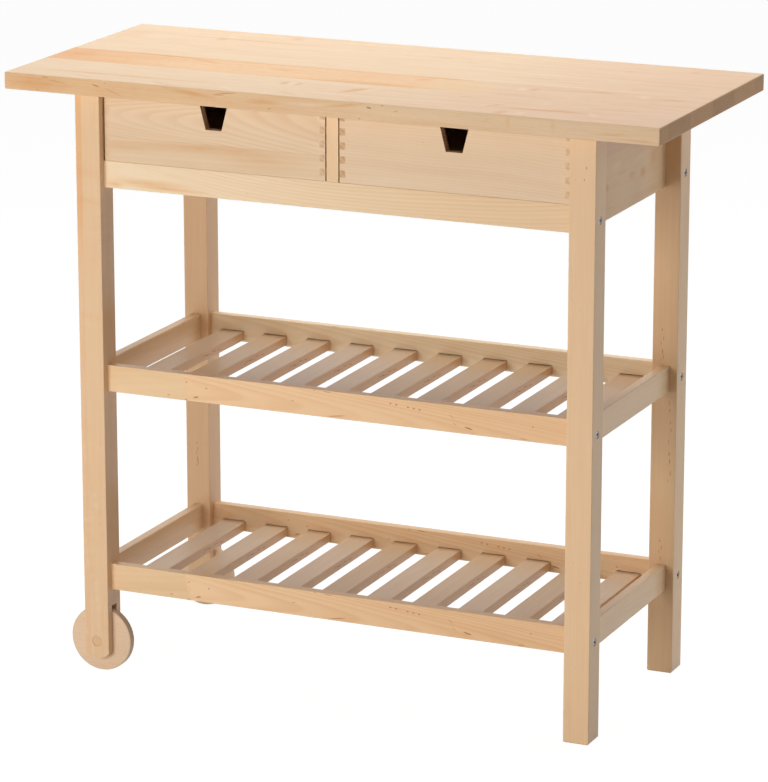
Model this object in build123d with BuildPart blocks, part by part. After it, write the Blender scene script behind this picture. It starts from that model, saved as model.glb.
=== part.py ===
from build123d import *
import math
import os

os.makedirs("parts", exist_ok=True)

# Kitchen trolley in birch. Millimetres, Z up, the origin on the floor under the middle.
# X runs along the worktop, from the wheels on the left to the plain feet on the right.
# The front is towards -Y.

# Worktop
top_length = 1000.0
top_depth = 430.0
top_thickness = 25.0
top_edge_round = 2.0
top_end_overhang = 100.0
top_side_overhang = 25.0
total_height = 900.0

# Frame
leg_width = 39.0
leg_depth = 40.0
leg_edge_round = 1.5
foot_chamfer = 2.0
rail_height = 40.0
rail_thickness = 14.0
rail_edge_round = 1.2
drawer_case_height = 100.0
end_panel_thickness = 15.0
middle_shelf_height = 471.0
lower_shelf_height = 168.0

# Slats of the two shelves
slat_count = 10
slat_width = 38.0
slat_thickness = 14.0
slat_end_gap = 17.1
slat_edge_round = 0.8
slat_drop = 23.5
slat_housing_depth = 6.0
slat_housing_clearance = 0.7

# Divider and runners of the drawer case
divider_thickness = 18.0
outer_runner_width = 18.0
centre_runner_width = 56.0
runner_height = 18.0

# Drawers
drawer_side_clearance = 2.0
drawer_run_clearance = 0.3
drawer_top_clearance = 2.2
drawer_end_thickness = 13.0
drawer_side_thickness = 9.0
finger_height = 10.0
drawer_bottom_thickness = 4.0
drawer_bottom_rise = 8.0
drawer_groove_depth = 4.0
drawer_groove_end_gap = 0.5
notch_depth = 40.0
notch_top_width = 45.5
notch_bottom_width = 25.0

# Wheels and axles
wheel_radius = 49.0
wheel_thickness = 13.0
wheel_edge_round = 2.0
wheel_side_clearance = 1.0
wheel_slot_headroom = 5.0
fork_end_radius = 26.5
axle_radius = 8.0
axle_running_clearance = 0.08
axle_end_recess = 0.3
axle_end_chamfer = 0.6

# Bolts and threaded inserts of the long rails, and the play of a screwed-in part
bolt_radius = 3.0
bolt_length = 45.0
bolt_hole_clearance = 0.3
bolt_head_radius = 5.0
bolt_head_height = 6.0
bolt_head_chamfer = 0.6
bolt_head_recess = 0.6
bolt_counterbore_clearance = 0.6
hex_key_size = 5.0
hex_socket_depth = 3.0
insert_radius = 4.5
insert_length = 15.0
thread_clearance = 0.05

# Dowels
dowel_radius = 3.0
dowel_length = 24.0
dowel_end_chamfer = 0.8
dowel_clearance = 0.1
dowel_end_gap = 0.5
rail_dowel_offset = 12.0
panel_dowel_pitch = 35.0
divider_dowel_inset = 57.0
runner_dowel_offset = 16.0
runner_dowel_seat = 8.0

# Cam fittings that hold the worktop on the end panels
cam_radius = 7.5
cam_thickness = 12.0
cam_clearance = 0.15
cam_drop = 34.0
cam_inset = 60.0
cam_cross_width = 1.6
cam_cross_length = 9.0
cam_cross_depth = 1.5
cam_bolt_shank_radius = 2.5
cam_bolt_head_radius = 3.5
cam_bolt_head_height = 6.0
cam_bolt_thread_radius = 3.0
cam_bolt_thread_length = 11.0
cam_bolt_collar_radius = 4.5
cam_bolt_collar_height = 2.0
cam_bolt_clearance = 0.3

# Screws of the outer runners
screw_radius = 2.0
screw_length = 28.0
screw_head_radius = 3.8
screw_head_angle = 90.0
screw_recess_width = 1.2
screw_recess_length = 4.5
screw_recess_depth = 1.4
screw_inset = 40.0

# Sizes and positions worked out from the ones above
frame_length = top_length - 2 * top_end_overhang
frame_depth = top_depth - 2 * top_side_overhang
top_underside = total_height - top_thickness
upper_rail_top = top_underside - drawer_case_height
leg_x = frame_length / 2 - leg_width / 2
leg_y = frame_depth / 2 - leg_depth / 2
leg_inner_x = frame_length / 2 - leg_width
leg_inner_y = frame_depth / 2 - leg_depth
rail_inner_y = leg_y - rail_thickness / 2
rail_outer_y = leg_y + rail_thickness / 2
case_bottom = upper_rail_top - rail_height
panel_height = top_underside - case_bottom
panel_x = leg_inner_x + end_panel_thickness / 2
rail_tops = {
    "upper": upper_rail_top,
    "middle": middle_shelf_height,
    "lower": lower_shelf_height,
}
slat_length = 2 * (rail_inner_y + slat_housing_depth)
slat_span = 2 * (leg_inner_x - slat_end_gap) - slat_width
slat_places = [index * slat_span / (slat_count - 1) - slat_span / 2 for index in range(slat_count)]
wheel_slot_width = wheel_thickness + 2 * wheel_side_clearance
wheel_slot_top = 2 * wheel_radius + wheel_slot_headroom
bolt_seat_x = frame_length / 2 - bolt_head_recess - bolt_head_height
ends = {"left": -1, "right": 1}
sides = {"front": -1, "rear": 1}


def facing(x, y, z, direction):
    """A plane at a point, with its normal in the given direction."""
    return Plane(origin=(x, y, z), z_dir=direction)


def bore(mouths, radius, depth):
    """Holes of one size, each sunk from a mouth whose normal points out of the hole."""
    with Locations(*mouths):
        Hole(radius, depth)


def dowel_bores(joints, depth=dowel_length / 2):
    """The holes that one member of a joint has for its dowels."""
    bore(joints, dowel_radius + dowel_clearance, depth + dowel_end_gap)


def flipped(joints):
    """The same joints, seen from the other member."""
    return [Plane(origin=joint.origin, z_dir=-joint.z_dir) for joint in joints]


def save(piece, label):
    """Name a finished piece and write it out."""
    piece.part.label = label
    export_step(piece.part, f"parts/{label}.step")


# Where the dowels lie: each plane sits on the face between two members, at the dowel's
# middle, with its normal pointing out of the member that is named last.


def long_rail_joints(end, side, rail_top):
    """Dowels from the end of a long rail into a leg, normal towards the leg."""
    middle = rail_top - rail_height / 2
    heights = [middle - rail_dowel_offset, middle + rail_dowel_offset]
    return [facing(end * leg_inner_x, side * leg_y, z, (end, 0, 0)) for z in heights]


def side_rail_joints(end, side, rail_top):
    """Dowels from the end of a side rail into a leg, normal towards the leg."""
    middle = rail_top - rail_height / 2
    heights = [middle - rail_dowel_offset, middle + rail_dowel_offset]
    return [facing(end * leg_x, side * leg_inner_y, z, (0, side, 0)) for z in heights]


def panel_joints(end, side):
    """Dowels from an end panel into a leg, normal towards the leg."""
    middle = upper_rail_top + drawer_case_height / 2
    heights = [middle + step * panel_dowel_pitch for step in (-1, 0, 1)]
    return [facing(end * panel_x, side * leg_inner_y, z, (0, side, 0)) for z in heights]


def leg_top_joint(end, side):
    """The dowel from the top of a leg into the worktop."""
    return [facing(end * leg_x, side * leg_y, top_underside, (0, 0, 1))]


def divider_joints(height):
    """Dowels above or below the divider, normal upwards."""
    y = rail_outer_y - divider_dowel_inset
    return [facing(0, side * y, height, (0, 0, 1)) for side in sides.values()]


def runner_joints(side):
    """Dowels from the centre runner into a long rail, normal towards the rail."""
    middle = upper_rail_top - runner_height / 2
    reach = side * rail_inner_y
    return [facing(step * runner_dowel_offset, reach, middle, (0, side, 0)) for step in (-1, 1)]


def cam_places():
    """The four places along the end panels that hold a cam fitting."""
    y = leg_inner_y - cam_inset
    return [(end, side * y) for end in ends.values() for side in sides.values()]


def rail_bolt_axes(x):
    """The bolt at each end of each long rail: a plane on its axis, x from the middle."""
    return [
        facing(end * x, side * leg_y, rail_top - rail_height / 2, (end, 0, 0))
        for end in ends.values()
        for side in sides.values()
        for rail_top in rail_tops.values()
    ]


def runner_screw_mouths(end):
    """The screws of an outer runner, at its inner face, normal out of their heads."""
    x = end * (leg_inner_x - outer_runner_width)
    middle = upper_rail_top - runner_height / 2
    y = leg_inner_y - screw_inset
    return [facing(x, side * y, middle, (-end, 0, 0)) for side in sides.values()]


# Worktop

with BuildPart() as table_top:
    with Locations((0, 0, total_height - top_thickness / 2)):
        Box(top_length, top_depth, top_thickness)
    fillet(table_top.edges(), top_edge_round)
    for end in ends.values():
        for side in sides.values():
            dowel_bores(flipped(leg_top_joint(end, side)))
    dowel_bores(flipped(divider_joints(top_underside)))
    cam_thread_mouths = [
        facing(end * panel_x, y, top_underside, (0, 0, -1)) for end, y in cam_places()
    ]
    bore(cam_thread_mouths, cam_bolt_thread_radius + thread_clearance, cam_bolt_thread_length)
save(table_top, "table_top")


# Legs


def plain_leg_shape(end, side):
    """A square leg that stands on its own foot."""
    with BuildPart() as leg:
        with BuildSketch(Plane.XY):
            with Locations((end * leg_x, side * leg_y)):
                Rectangle(leg_width, leg_depth)
        extrude(amount=top_underside)
        chamfer(leg.faces().sort_by(Axis.Z)[0].edges(), foot_chamfer)
        fillet(leg.edges().filter_by(Axis.Z), leg_edge_round)
    return leg.part


def forked_leg_shape(end, side):
    """A leg that ends in a fork round the axle, its end rounded about the axle."""
    centre = end * leg_x
    half = leg_width / 2
    shoulder = wheel_radius - (fork_end_radius**2 - half**2) ** 0.5
    with BuildPart() as leg:
        with BuildSketch(Plane.XZ.offset(-side * leg_y)):
            with BuildLine():
                Polyline(
                    (centre - half, shoulder),
                    (centre - half, top_underside),
                    (centre + half, top_underside),
                    (centre + half, shoulder),
                )
                ThreePointArc(
                    (centre - half, shoulder),
                    (centre, wheel_radius - fork_end_radius),
                    (centre + half, shoulder),
                )
            make_face()
        extrude(amount=leg_depth / 2, both=True)
        fillet(leg.edges().filter_by(Axis.Z), leg_edge_round)
        with Locations((centre, side * leg_y, wheel_slot_top / 2)):
            Box(2 * leg_width, wheel_slot_width, wheel_slot_top, mode=Mode.SUBTRACT)
        axle_mouth = facing(centre, side * frame_depth / 2, wheel_radius, (0, side, 0))
        bore([axle_mouth], axle_radius, leg_depth)
    return leg.part


def make_leg(end, side, shape):
    """A leg with the bores for its rails, its end panel, its top dowel and its bolts."""
    with BuildPart() as leg:
        add(shape)
        for rail_top in rail_tops.values():
            dowel_bores(flipped(long_rail_joints(end, side, rail_top)))
            middle = rail_top - rail_height / 2
            with Locations(facing(end * frame_length / 2, side * leg_y, middle, (end, 0, 0))):
                CounterBoreHole(
                    bolt_radius + bolt_hole_clearance,
                    bolt_head_radius + bolt_counterbore_clearance,
                    bolt_head_recess + bolt_head_height,
                    leg_width,
                )
        for shelf_top in (middle_shelf_height, lower_shelf_height):
            dowel_bores(flipped(side_rail_joints(end, side, shelf_top)))
        dowel_bores(flipped(panel_joints(end, side)))
        dowel_bores(leg_top_joint(end, side))
    return leg


for end_name, end in ends.items():
    for side_name, side in sides.items():
        leg_shape = forked_leg_shape(end, side) if end < 0 else plain_leg_shape(end, side)
        save(make_leg(end, side, leg_shape), f"leg_{side_name}_{end_name}")


# Rails


def long_rail(side, rail_top):
    """A front or rear rail. Those of the shelves have a housing for each slat."""
    middle = rail_top - rail_height / 2
    with BuildPart() as rail:
        with Locations((0, side * leg_y, middle)):
            Box(2 * leg_inner_x, rail_thickness, rail_height)
        fillet(rail.edges().filter_by(Axis.X), rail_edge_round)
        for end in ends.values():
            dowel_bores(long_rail_joints(end, side, rail_top))
            end_mouth = facing(end * leg_inner_x, side * leg_y, middle, (end, 0, 0))
            bore([end_mouth], insert_radius, insert_length)
            shank_depth = bolt_length - bolt_seat_x + leg_inner_x + dowel_end_gap
            bore([end_mouth], bolt_radius + bolt_hole_clearance, shank_depth)
        if rail_top == upper_rail_top:
            dowel_bores(flipped(runner_joints(side)), runner_dowel_seat)
        else:
            housing_height = slat_thickness + slat_housing_clearance
            housing_middle = rail_top - slat_drop - slat_thickness + housing_height / 2
            housing_y = side * (rail_inner_y + slat_housing_depth / 2)
            with Locations(*[(x, housing_y, housing_middle) for x in slat_places]):
                Box(slat_width, slat_housing_depth, housing_height, mode=Mode.SUBTRACT)
    return rail


def side_rail(end, rail_top):
    """A short rail between the two legs of one end."""
    with BuildPart() as rail:
        with Locations((end * leg_x, 0, rail_top - rail_height / 2)):
            Box(rail_thickness, 2 * leg_inner_y, rail_height)
        fillet(rail.edges().filter_by(Axis.Y), rail_edge_round)
        for side in sides.values():
            dowel_bores(side_rail_joints(end, side, rail_top))
    return rail


def slat(x, shelf_top):
    """A slat, front to rear, with its ends in the housings of the long rails."""
    with BuildPart() as board:
        with Locations((x, 0, shelf_top - slat_drop - slat_thickness / 2)):
            Box(slat_width, slat_length, slat_thickness)
        fillet(board.edges().filter_by(Axis.Y), slat_edge_round)
    return board


for level, rail_top in rail_tops.items():
    for side_name, side in sides.items():
        save(long_rail(side, rail_top), f"{level}_rail_{side_name}")

for level in ("middle", "lower"):
    for end_name, end in ends.items():
        save(side_rail(end, rail_tops[level]), f"{level}_rail_{end_name}")
    for index, x in enumerate(slat_places):
        save(slat(x, rail_tops[level]), f"{level}_slat_{index + 1:02d}")


# End panels, divider and runners of the drawer case


def end_panel(end):
    """A panel between the legs of one end, flush with their inner faces."""
    with BuildPart() as panel:
        with Locations((end * panel_x, 0, case_bottom + panel_height / 2)):
            Box(end_panel_thickness, 2 * leg_inner_y, panel_height)
        lower_edges = panel.edges().filter_by(Axis.Y).group_by(Axis.Z)[0]
        fillet(lower_edges, rail_edge_round)
        for side in sides.values():
            dowel_bores(panel_joints(end, side))
            y = side * (leg_inner_y - cam_inset)
            cam_mouth = facing(end * leg_inner_x, y, top_underside - cam_drop, (-end, 0, 0))
            bore([cam_mouth], cam_radius + cam_clearance, cam_thickness)
            bolt_mouth = facing(end * panel_x, y, top_underside, (0, 0, 1))
            bore([bolt_mouth], cam_bolt_head_radius + cam_bolt_clearance, cam_drop)
            collar_depth = cam_bolt_collar_height + dowel_end_gap
            bore([bolt_mouth], cam_bolt_collar_radius + cam_bolt_clearance, collar_depth)
        screw_mouths = [mouth.offset(-outer_runner_width) for mouth in runner_screw_mouths(end)]
        bore(screw_mouths, screw_radius + thread_clearance, screw_length - outer_runner_width)
    return panel


def outer_runner(end):
    """A strip along an end panel that carries the outer side of a drawer."""
    centre = end * (leg_inner_x - outer_runner_width / 2)
    with BuildPart() as runner:
        with Locations((centre, 0, upper_rail_top - runner_height / 2)):
            Box(outer_runner_width, 2 * rail_inner_y, runner_height)
        with Locations(*runner_screw_mouths(end)):
            CounterSinkHole(screw_radius, screw_head_radius, outer_runner_width, screw_head_angle)
    return runner


for end_name, end in ends.items():
    save(end_panel(end), f"end_panel_{end_name}")
    save(outer_runner(end), f"drawer_runner_{end_name}")

with BuildPart() as centre_runner:
    with Locations((0, 0, upper_rail_top - runner_height / 2)):
        Box(centre_runner_width, 2 * rail_inner_y, runner_height)
    for side in sides.values():
        dowel_bores(runner_joints(side), dowel_length - runner_dowel_seat)
    dowel_bores(divider_joints(upper_rail_top))
save(centre_runner, "drawer_runner_centre")

with BuildPart() as divider:
    with Locations((0, 0, upper_rail_top + drawer_case_height / 2)):
        Box(divider_thickness, 2 * rail_outer_y, drawer_case_height)
    dowel_bores(flipped(divider_joints(upper_rail_top)))
    dowel_bores(divider_joints(top_underside))
save(divider, "drawer_divider")


# Drawers, alike at both ends, so that each one can be pulled out to the front or the rear

drawer_width = leg_inner_x - divider_thickness / 2 - 2 * drawer_side_clearance
drawer_length = 2 * rail_outer_y
drawer_x = divider_thickness / 2 + drawer_side_clearance + drawer_width / 2
drawer_base = upper_rail_top + drawer_run_clearance
drawer_height = drawer_case_height - drawer_run_clearance - drawer_top_clearance
drawer_top = drawer_base + drawer_height
inner_width = drawer_width - 2 * drawer_side_thickness
inner_length = drawer_length - 2 * drawer_end_thickness
bottom_middle = drawer_base + drawer_bottom_rise + drawer_bottom_thickness / 2
finger_pairs = math.ceil(drawer_height / (2 * finger_height))
finger_middles = [drawer_top - (2 * pair + 0.5) * finger_height for pair in range(finger_pairs)]


def drawer_groove(end):
    """Clear the groove that holds the edge of the drawer's bottom."""
    reach = 2 * (drawer_groove_depth + drawer_groove_end_gap)
    with Locations((end * drawer_x, 0, bottom_middle)):
        Box(inner_width + reach, inner_length + reach, drawer_bottom_thickness, mode=Mode.SUBTRACT)


def drawer_end(end, side):
    """An end board, cut back at both ends for the fingers of the sides, and notched."""
    with BuildPart() as board:
        y = side * (drawer_length - drawer_end_thickness) / 2
        with Locations((end * drawer_x, y, drawer_base + drawer_height / 2)):
            Box(drawer_width, drawer_end_thickness, drawer_height)
        finger_x = (drawer_width - drawer_side_thickness) / 2
        places = [(end * drawer_x + flank * finger_x, y, z) for flank in (-1, 1) for z in finger_middles]
        with Locations(*places):
            Box(drawer_side_thickness, drawer_end_thickness, finger_height, mode=Mode.SUBTRACT)
        with BuildSketch(Plane.XZ.offset(-y)):
            with BuildLine():
                Polyline(
                    (end * drawer_x - notch_top_width / 2, drawer_top),
                    (end * drawer_x - notch_bottom_width / 2, drawer_top - notch_depth),
                    (end * drawer_x + notch_bottom_width / 2, drawer_top - notch_depth),
                    (end * drawer_x + notch_top_width / 2, drawer_top),
                    close=True,
                )
            make_face()
        extrude(amount=drawer_end_thickness / 2, both=True, mode=Mode.SUBTRACT)
        drawer_groove(end)
    return board


def drawer_side(end, flank):
    """A side board, cut back at both ends between its fingers."""
    with BuildPart() as board:
        x = end * drawer_x + flank * (drawer_width - drawer_side_thickness) / 2
        with Locations((x, 0, drawer_base + drawer_height / 2)):
            Box(drawer_side_thickness, drawer_length, drawer_height)
        y = (drawer_length - drawer_end_thickness) / 2
        gap_middles = [z - finger_height for z in finger_middles]
        places = [(x, side * y, z) for side in sides.values() for z in gap_middles]
        with Locations(*places):
            Box(drawer_side_thickness, drawer_end_thickness, finger_height, mode=Mode.SUBTRACT)
        drawer_groove(end)
    return board


def drawer_bottom(end):
    """The thin board that slides into the grooves."""
    with BuildPart() as board:
        with Locations((end * drawer_x, 0, bottom_middle)):
            Box(
                inner_width + 2 * drawer_groove_depth,
                inner_length + 2 * drawer_groove_depth,
                drawer_bottom_thickness,
            )
    return board


for end_name, end in ends.items():
    save(drawer_end(end, sides["front"]), f"drawer_{end_name}_front")
    save(drawer_end(end, sides["rear"]), f"drawer_{end_name}_back")
    save(drawer_side(end, end), f"drawer_{end_name}_outer_side")
    save(drawer_side(end, -end), f"drawer_{end_name}_inner_side")
    save(drawer_bottom(end), f"drawer_{end_name}_bottom")


# Wheels and their axles, at the left end


def wheel(side):
    """A plywood disc with a plain bore, turning in the slot of its leg."""
    with BuildPart() as disc:
        with BuildSketch(Plane.XZ.offset(-side * leg_y)):
            with Locations((-leg_x, wheel_radius)):
                Circle(wheel_radius)
                Circle(axle_radius + axle_running_clearance, mode=Mode.SUBTRACT)
        extrude(amount=wheel_thickness / 2, both=True)
        rim = disc.edges().filter_by(GeomType.CIRCLE).group_by(SortBy.RADIUS)[-1]
        fillet(rim, wheel_edge_round)
    return disc


for side_name, side in sides.items():
    save(wheel(side), f"wheel_{side_name}")

with BuildPart() as axles:
    for side in sides.values():
        with BuildSketch(Plane.XZ.offset(-side * leg_y)):
            with Locations((-leg_x, wheel_radius)):
                Circle(axle_radius)
    extrude(amount=leg_depth / 2 - axle_end_recess, both=True)
    chamfer(axles.edges().filter_by(GeomType.CIRCLE), axle_end_chamfer)
save(axles, "wheel_axles")


# Bolts and threaded inserts

with BuildPart() as bolt:
    Cylinder(bolt_radius, bolt_length, align=(Align.CENTER, Align.CENTER, Align.MAX))
    Cylinder(bolt_head_radius, bolt_head_height, align=(Align.CENTER, Align.CENTER, Align.MIN))
    chamfer(bolt.faces().sort_by(Axis.Z)[-1].edges(), bolt_head_chamfer)
    with BuildSketch(Plane.XY.offset(bolt_head_height)):
        RegularPolygon(hex_key_size / 2, 6, major_radius=False)
    extrude(amount=-hex_socket_depth, mode=Mode.SUBTRACT)

with BuildPart() as insert:
    with BuildSketch():
        Circle(insert_radius)
        Circle(bolt_radius + thread_clearance, mode=Mode.SUBTRACT)
    extrude(amount=-insert_length)


with BuildPart() as bolts:
    with Locations(*rail_bolt_axes(bolt_seat_x)):
        add(bolt.part)
save(bolts, "frame_bolts")

with BuildPart() as inserts:
    with Locations(*rail_bolt_axes(leg_inner_x)):
        add(insert.part)
save(inserts, "threaded_inserts")


# Dowels

with BuildPart() as dowel:
    Cylinder(dowel_radius, dowel_length)
    chamfer(dowel.edges().filter_by(GeomType.CIRCLE), dowel_end_chamfer)

dowel_places = divider_joints(upper_rail_top) + divider_joints(top_underside)
for side in sides.values():
    for joint in runner_joints(side):
        dowel_places.append(joint.offset(runner_dowel_seat - dowel_length / 2))
    for end in ends.values():
        dowel_places.extend(leg_top_joint(end, side))
        dowel_places.extend(panel_joints(end, side))
        for rail_top in rail_tops.values():
            dowel_places.extend(long_rail_joints(end, side, rail_top))
        for shelf_top in (middle_shelf_height, lower_shelf_height):
            dowel_places.extend(side_rail_joints(end, side, shelf_top))

with BuildPart() as dowels:
    with Locations(*dowel_places):
        add(dowel.part)
save(dowels, "wood_dowels")


# Cam fittings

with BuildPart() as cam:
    Cylinder(cam_radius, cam_thickness, align=(Align.CENTER, Align.CENTER, Align.MAX))
    with BuildSketch(Plane.XY):
        Rectangle(cam_cross_width, cam_cross_length)
        Rectangle(cam_cross_length, cam_cross_width)
    extrude(amount=-cam_cross_depth, mode=Mode.SUBTRACT)
    with Locations(facing(0, cam_radius, -end_panel_thickness / 2, (0, 1, 0))):
        Hole(cam_bolt_head_radius + cam_bolt_clearance, cam_radius + cam_bolt_head_radius)

with BuildPart() as cam_bolt:
    with BuildSketch(Plane.XZ):
        with BuildLine():
            Polyline(
                (0, cam_bolt_thread_length),
                (cam_bolt_thread_radius, cam_bolt_thread_length),
                (cam_bolt_thread_radius, 0),
                (cam_bolt_collar_radius, 0),
                (cam_bolt_collar_radius, -cam_bolt_collar_height),
                (cam_bolt_shank_radius, -cam_bolt_collar_height),
                (cam_bolt_shank_radius, cam_bolt_head_height - cam_drop),
                (cam_bolt_head_radius, cam_bolt_head_height - cam_drop),
                (cam_bolt_head_radius, -cam_drop),
                (0, -cam_drop),
                close=True,
            )
        make_face()
    revolve(axis=Axis.Z)

with BuildPart() as cams:
    for end, y in cam_places():
        face = Plane(
            origin=(end * leg_inner_x, y, top_underside - cam_drop),
            x_dir=(0, -end, 0),
            z_dir=(-end, 0, 0),
        )
        with Locations(face):
            add(cam.part)
save(cams, "cam_locks")

with BuildPart() as cam_bolts:
    with Locations(*[(end * panel_x, y, top_underside) for end, y in cam_places()]):
        add(cam_bolt.part)
save(cam_bolts, "cam_bolts")


# Screws of the outer runners

with BuildPart() as screw:
    head_height = screw_head_radius - screw_radius
    Cylinder(screw_radius, screw_length, align=(Align.CENTER, Align.CENTER, Align.MAX))
    with Locations((0, 0, -head_height / 2)):
        Cone(screw_radius, screw_head_radius, head_height)
    with BuildSketch(Plane.XY):
        Rectangle(screw_recess_width, screw_recess_length)
        Rectangle(screw_recess_length, screw_recess_width)
    extrude(amount=-screw_recess_depth, mode=Mode.SUBTRACT)

with BuildPart() as screws:
    with Locations(*runner_screw_mouths(ends["left"]), *runner_screw_mouths(ends["right"])):
        add(screw.part)
save(screws, "runner_screws")
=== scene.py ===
import math
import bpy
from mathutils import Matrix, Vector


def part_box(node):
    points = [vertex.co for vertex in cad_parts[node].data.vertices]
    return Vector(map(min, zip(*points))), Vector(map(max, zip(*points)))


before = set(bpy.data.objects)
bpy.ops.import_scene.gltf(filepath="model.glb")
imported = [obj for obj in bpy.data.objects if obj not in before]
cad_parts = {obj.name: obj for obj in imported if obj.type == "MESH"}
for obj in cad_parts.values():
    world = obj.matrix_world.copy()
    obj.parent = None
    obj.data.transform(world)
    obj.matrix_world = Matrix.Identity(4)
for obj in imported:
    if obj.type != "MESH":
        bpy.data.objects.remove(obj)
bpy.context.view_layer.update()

from types import SimpleNamespace

import bpy
from mathutils import Vector

# Lengths in the looks are millimetres; Blender's own are metres.
MM = 1000.0

# Camera: where it stands, which way it looks and its lens
CAMERA_PLACE = (2.3537, -5.2906, 1.9997)
CAMERA_TURN = 23.98
CAMERA_DIP = 15.19
CAMERA_LENS = 188.97
CAMERA_SENSOR = 36.0

# Light: each lamp's place, what it is aimed at, its size and its power
LAMPS = {
    "front": ((-0.8, -3.6, 0.9), (0.0, 0.0, 0.45), 2.0, 86.0),
    "overhead": ((-0.35, 0.85, 2.6), (0.0, 0.0, 0.9), 2.3, 62.0),
    "side": ((2.6, 1.6, 1.2), (0.4, 0.0, 0.45), 2.0, 18.0),
}
SKY_LEVEL = 0.08

# Floor. What is seen of it directly is white light of strength FLOOR_SHINE by FLOOR_GLOW of
# the whole, and plain diffuse paper for the rest, which takes the shadow.
FLOOR_SIZE = 40.0
FLOOR_TONE = (0.86, 0.85, 0.83)
FLOOR_GLOW = 0.87
FLOOR_SHINE = 1.11

# Wood tones
CREAM = (0.790, 0.580, 0.370)
RUNNER = (0.785, 0.565, 0.370)
TOP_CREAM = (0.740, 0.550, 0.360)
TOP_HONEY = (0.720, 0.410, 0.190)
TOP_AMBER = (0.755, 0.490, 0.260)
TOP_BEIGE = (0.730, 0.500, 0.280)
TOP_GREY = (0.700, 0.480, 0.310)
EDGE_PEACH = (0.800, 0.520, 0.290)
EDGE_CREAM = (0.780, 0.570, 0.370)
DIVIDER = (0.860, 0.600, 0.360)
LEG = (0.830, 0.575, 0.350)
BRIGHT_LEG = (0.890, 0.620, 0.375)
ORANGE_LEG = (0.830, 0.555, 0.335)
FLAME_LEG = (0.840, 0.490, 0.250)
# Darker tones of the rear legs' front faces: painted shade
LEG_SHADE = (0.770, 0.520, 0.310)
LEG_DEEP_SHADE = (0.710, 0.485, 0.285)
# Tones of the legs' side faces, darker or lighter than their fronts: painted shade and light
LEG_SIDE_PAINTED_SHADE = (0.775, 0.540, 0.318)
LEG_SIDE_PAINTED_LIGHT = (0.800, 0.545, 0.310)
RAIL_CREAM = (0.930, 0.730, 0.500)
RAIL_PALE = (0.840, 0.600, 0.370)
RAIL_YELLOW = (0.870, 0.610, 0.360)
RAIL_PEACH = (0.920, 0.625, 0.370)
RAIL_HONEY = (0.870, 0.560, 0.315)
# Darker tone of the lower rear rail: painted shade
SHADED_REAR_RAIL = (0.780, 0.540, 0.320)
REAR_RAIL_PALE = (0.830, 0.660, 0.440)
SIDE_RAIL = (0.860, 0.620, 0.385)
SLAT = (0.680, 0.510, 0.355)
SLAT_GREY = (0.665, 0.520, 0.390)
SLAT_WARM = (0.665, 0.475, 0.305)
SLAT_BROWN = (0.620, 0.435, 0.262)
# The tone of the slats' side faces: painted light and shade of those faces
SLAT_SIDE_PAINTED_LIGHT = (0.760, 0.480, 0.260)
DRAWER = (0.800, 0.600, 0.405)
DRAWER_WARM = (0.800, 0.600, 0.400)
PANEL = (0.725, 0.500, 0.285)
# Paler tone of the end panels towards their rear end: painted light
PANEL_PAINTED_LIGHT = (0.940, 0.700, 0.460)
PANEL_RED = (0.720, 0.480, 0.290)
WHEEL = (0.825, 0.620, 0.430)
LINE_TINT = (0.80, 0.60, 0.42)
END_TINT = (0.70, 0.58, 0.47)
# Lighter tone along every edge: partly worn lacquer, partly a painted highlight
EDGE_WEAR_AND_HIGHLIGHT_TONE = (0.86, 0.68, 0.48)
SMUDGE_TINT = (0.90, 0.70, 0.50)
GLEAM_TONE = (0.92, 0.76, 0.55)
SPOT_TONE = (0.66, 0.32, 0.13)
MARK_TONE = (0.42, 0.13, 0.028)
GLUE_TONE = (0.45, 0.30, 0.18)
END_SHADE = (0.62, 0.56, 0.50)
TOP_END_TINT = (0.83, 0.72, 0.54)
AXLE_END_TINT = (0.94, 0.89, 0.83)
DRAWER_END_TINTS = {
    "left_outer": (0.97, 0.93, 0.88), "left_inner": (0.86, 0.77, 0.68),
    "right_inner": (0.76, 0.60, 0.45), "right_outer": (0.86, 0.77, 0.66),
}
PLY_DARK = (0.74, 0.55, 0.38)
PLY_BLOTCH = (0.74, 0.55, 0.42)
PLY_GLUE = (0.30, 0.19, 0.11)
ZINC = (0.40, 0.44, 0.48)
ZINC_DARK = (0.34, 0.37, 0.43)
WHITE = (1.0, 1.0, 1.0)

# Drawn marks. Each is its middle along the grain and in height, its length, its thickness,
# its tilt in degrees and its strength, which is below zero for a gleam.

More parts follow.
